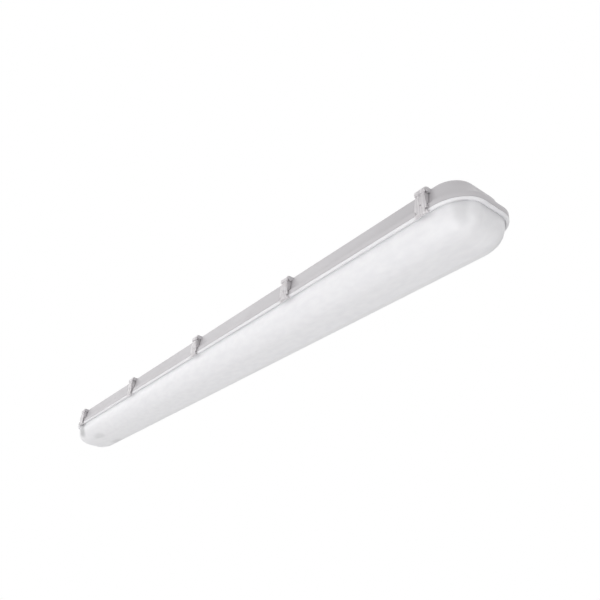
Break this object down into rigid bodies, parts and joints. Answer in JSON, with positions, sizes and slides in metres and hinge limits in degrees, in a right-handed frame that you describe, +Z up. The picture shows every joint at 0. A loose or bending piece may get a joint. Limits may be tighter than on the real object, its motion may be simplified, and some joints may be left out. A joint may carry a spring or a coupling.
{
  "type": "vapor tight light fixture",
  "caption": "Long sealed ceiling light: a moulded trough and a milky diffuser clipped together round a gasket, with tube lamps and ballast on a tray inside and a cable gland at one end.",
  "frame": {"origin": "on the ceiling face, midway between the two mounting brackets, above the middle of the fixture", "axes": "+X along the fixture, away from the cable gland; +Z up, into the ceiling; +Y across it"},
  "size_m": [1.285, 0.117, 0.0833],
  "materials": {
    "grey_shell": "light grey moulded plastic, fine satin grain",
    "milky_shell": "milky white moulded plastic, smooth and slightly glossy",
    "clip_plastic": "cloudy translucent plastic with a faint pink cast",
    "gasket_foam": "poured white foam with a matt skin",
    "white_steel": "white powder coat, satin",
    "white_plastic": "white moulded plastic, satin",
    "rotor_plastic": "off-white moulded plastic, satin",
    "tube_glass": "glass coated white inside",
    "cap_metal": "bright drawn aluminium",
    "zinc_steel": "bright zinc plate",
    "spring_steel": "stainless spring steel, rolled finish",
    "circuit_board": "green lacquered board",
    "grey_nylon": "grey moulded nylon, matt",
    "black_rubber": "black rubber, matt",
    "brown_wire": "brown insulation",
    "blue_wire": "blue insulation",
    "earth_wire": "green and yellow insulation",
    "white_wire": "white insulation"
  },
  "bodies": {
    "root": {"housing": "grey_shell", "gasket": "gasket_foam", "gear_tray": "white_steel", "lampholder_front_left": "white_plastic", "lampholder_front_right": "white_plastic", "lampholder_rear_left": "white_plastic", "lampholder_rear_right": "white_plastic", "ballast_base": "zinc_steel", "ballast_cover": "white_steel", "ballast_board": "circuit_board", "ballast_connector_left": "white_plastic", "ballast_connector_right": "white_plastic", "ballast_left_screw": "zinc_steel", "ballast_right_screw": "zinc_steel", "terminal_block": "white_plastic", "terminal_screw": "zinc_steel", "earth_screw": "zinc_steel", "wire_live": "brown_wire", "wire_neutral": "blue_wire", "wire_earth": "earth_wire", "wire_front_left": "white_wire", "wire_front_right": "white_wire", "wire_rear_left": "white_wire", "wire_rear_right": "white_wire", "bracket_left": "spring_steel", "bracket_right": "spring_steel", "gland_body": "grey_nylon", "gland_washer": "black_rubber", "gland_locknut": "grey_nylon", "gland_seal": "black_rubber"},
    "diffuser": {"diffuser": "milky_shell"},
    "clip_01": {"clip_01": "clip_plastic"},
    "clip_02": {"clip_02": "clip_plastic"},
    "clip_03": {"clip_03": "clip_plastic"},
    "clip_04": {"clip_04": "clip_plastic"},
    "clip_05": {"clip_05": "clip_plastic"},
    "clip_06": {"clip_06": "clip_plastic"},
    "clip_07": {"clip_07": "clip_plastic"},
    "clip_08": {"clip_08": "clip_plastic"},
    "clip_09": {"clip_09": "clip_plastic"},
    "clip_10": {"clip_10": "clip_plastic"},
    "lamp_front": {"lamp_tube_front": "tube_glass", "lamp_cap_front_left": "cap_metal", "lamp_cap_front_right": "cap_metal", "rotor_front_left": "rotor_plastic", "rotor_front_right": "rotor_plastic"},
    "lamp_rear": {"lamp_tube_rear": "tube_glass", "lamp_cap_rear_left": "cap_metal", "lamp_cap_rear_right": "cap_metal", "rotor_rear_left": "rotor_plastic", "rotor_rear_right": "rotor_plastic"},
    "tray_fastener_1": {"tray_fastener_1": "white_plastic"},
    "tray_fastener_2": {"tray_fastener_2": "white_plastic"},
    "tray_fastener_3": {"tray_fastener_3": "white_plastic"},
    "tray_fastener_4": {"tray_fastener_4": "white_plastic"},
    "dome_nut": {"gland_dome_nut": "grey_nylon"}
  },
  "joints": [
    {"name": "diffuser_drop", "type": "slide", "parent": "root", "child": "diffuser", "axis": [0, 0, -1], "range_m": [0, 0.036]},
    {"name": "clip_01_swing", "type": "hinge", "parent": "root", "child": "clip_01", "pos_m": [-0.57, -0.0542, -0.0149], "axis": [-1, 0, 0], "range_deg": [0, 90]},
    {"name": "clip_02_swing", "type": "hinge", "parent": "root", "child": "clip_02", "pos_m": [-0.285, -0.0542, -0.0149], "axis": [-1, 0, 0], "range_deg": [0, 90]},
    {"name": "clip_03_swing", "type": "hinge", "parent": "root", "child": "clip_03", "pos_m": [0, -0.0542, -0.0149], "axis": [-1, 0, 0], "range_deg": [0, 90]},
    {"name": "clip_04_swing", "type": "hinge", "parent": "root", "child": "clip_04", "pos_m": [0.285, -0.0542, -0.0149], "axis": [-1, 0, 0], "range_deg": [0, 90]},
    {"name": "clip_05_swing", "type": "hinge", "parent": "root", "child": "clip_05", "pos_m": [0.57, -0.0542, -0.0149], "axis": [-1, 0, 0], "range_deg": [0, 90]},
    {"name": "clip_06_swing", "type": "hinge", "parent": "root", "child": "clip_06", "pos_m": [-0.57, 0.0542, -0.0149], "axis": [1, 0, 0], "range_deg": [0, 90]},
    {"name": "clip_07_swing", "type": "hinge", "parent": "root", "child": "clip_07", "pos_m": [-0.285, 0.0542, -0.0149], "axis": [1, 0, 0], "range_deg": [0, 90]},
    {"name": "clip_08_swing", "type": "hinge", "parent": "root", "child": "clip_08", "pos_m": [0, 0.0542, -0.0149], "axis": [1, 0, 0], "range_deg": [0, 90]},
    {"name": "clip_09_swing", "type": "hinge", "parent": "root", "child": "clip_09", "pos_m": [0.285, 0.0542, -0.0149], "axis": [1, 0, 0], "range_deg": [0, 90]},
    {"name": "clip_10_swing", "type": "hinge", "parent": "root", "child": "clip_10", "pos_m": [0.57, 0.0542, -0.0149], "axis": [1, 0, 0], "range_deg": [0, 90]},
    {"name": "lamp_front_turn", "type": "hinge", "parent": "root", "child": "lamp_front", "pos_m": [0, -0.025, -0.0604], "axis": [1, 0, 0], "range_deg": [0, 90]},
    {"name": "lamp_rear_turn", "type": "hinge", "parent": "root", "child": "lamp_rear", "pos_m": [0, 0.025, -0.0604], "axis": [1, 0, 0], "range_deg": [0, 90]},
    {"name": "tray_fastener_1_turn", "type": "hinge", "parent": "root", "child": "tray_fastener_1", "pos_m": [-0.415, 0, -0.0424], "axis": [0, 0, 1], "range_deg": [0, 90]},
    {"name": "tray_fastener_2_turn", "type": "hinge", "parent": "root", "child": "tray_fastener_2", "pos_m": [-0.317, 0, -0.0424], "axis": [0, 0, 1], "range_deg": [0, 90]},
    {"name": "tray_fastener_3_turn", "type": "hinge", "parent": "root", "child": "tray_fastener_3", "pos_m": [0.317, 0, -0.0424], "axis": [0, 0, 1], "range_deg": [0, 90]},
    {"name": "tray_fastener_4_turn", "type": "hinge", "parent": "root", "child": "tray_fastener_4", "pos_m": [0.415, 0, -0.0424], "axis": [0, 0, 1], "range_deg": [0, 90]},
    {"name": "dome_nut_turn", "type": "hinge", "parent": "root", "child": "dome_nut", "pos_m": [-0.64, 0, -0.0234], "axis": [1, 0, 0], "range_deg": [0, 180]}
  ],
  "couplings": [
    {"joint": "clip_01_swing", "follows": "diffuser_drop", "rad_per_m": 43.633},
    {"joint": "clip_02_swing", "follows": "diffuser_drop", "rad_per_m": 43.633},
    {"joint": "clip_03_swing", "follows": "diffuser_drop", "rad_per_m": 43.633},
    {"joint": "clip_04_swing", "follows": "diffuser_drop", "rad_per_m": 43.633},
    {"joint": "clip_05_swing", "follows": "diffuser_drop", "rad_per_m": 43.633},
    {"joint": "clip_06_swing", "follows": "diffuser_drop", "rad_per_m": 43.633},
    {"joint": "clip_07_swing", "follows": "diffuser_drop", "rad_per_m": 43.633},
    {"joint": "clip_08_swing", "follows": "diffuser_drop", "rad_per_m": 43.633},
    {"joint": "clip_09_swing", "follows": "diffuser_drop", "rad_per_m": 43.633},
    {"joint": "clip_10_swing", "follows": "diffuser_drop", "rad_per_m": 43.633}
  ]
}
